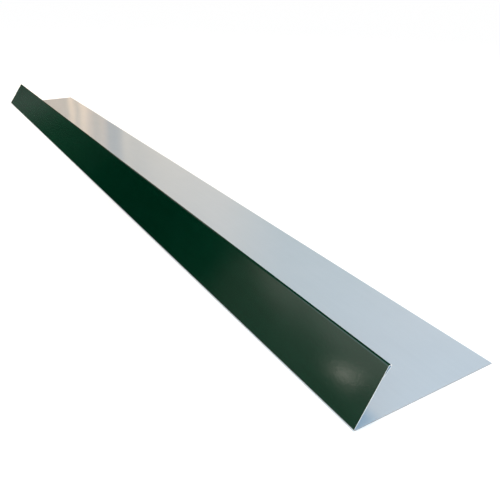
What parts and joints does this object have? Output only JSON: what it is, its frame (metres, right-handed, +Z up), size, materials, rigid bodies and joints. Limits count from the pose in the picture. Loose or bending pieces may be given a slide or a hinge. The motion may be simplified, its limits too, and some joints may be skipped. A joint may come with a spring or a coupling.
{
  "type": "rain diverter flashing",
  "caption": "Strip of painted steel sheet folded into a flat roof flange and an upstand leaning over it with a hemmed top edge, to lead rain sideways off a roof.",
  "frame": {"origin": "middle of the flange's underside, in its length and width", "axes": "+X along the strip, +Y across the flange from the fold to the free edge, +Z up from the flange's underside"},
  "size_m": [1.2192, 0.1396, 0.0429],
  "materials": {
    "coil_coated_steel": "pre-painted galvanised steel: dark green satin coat on the outside of the bends, pale blue-grey coat on the back, bare sheared edges"
  },
  "bodies": {
    "root": {"rain_diverter": "coil_coated_steel"}
  },
  "joints": []
}
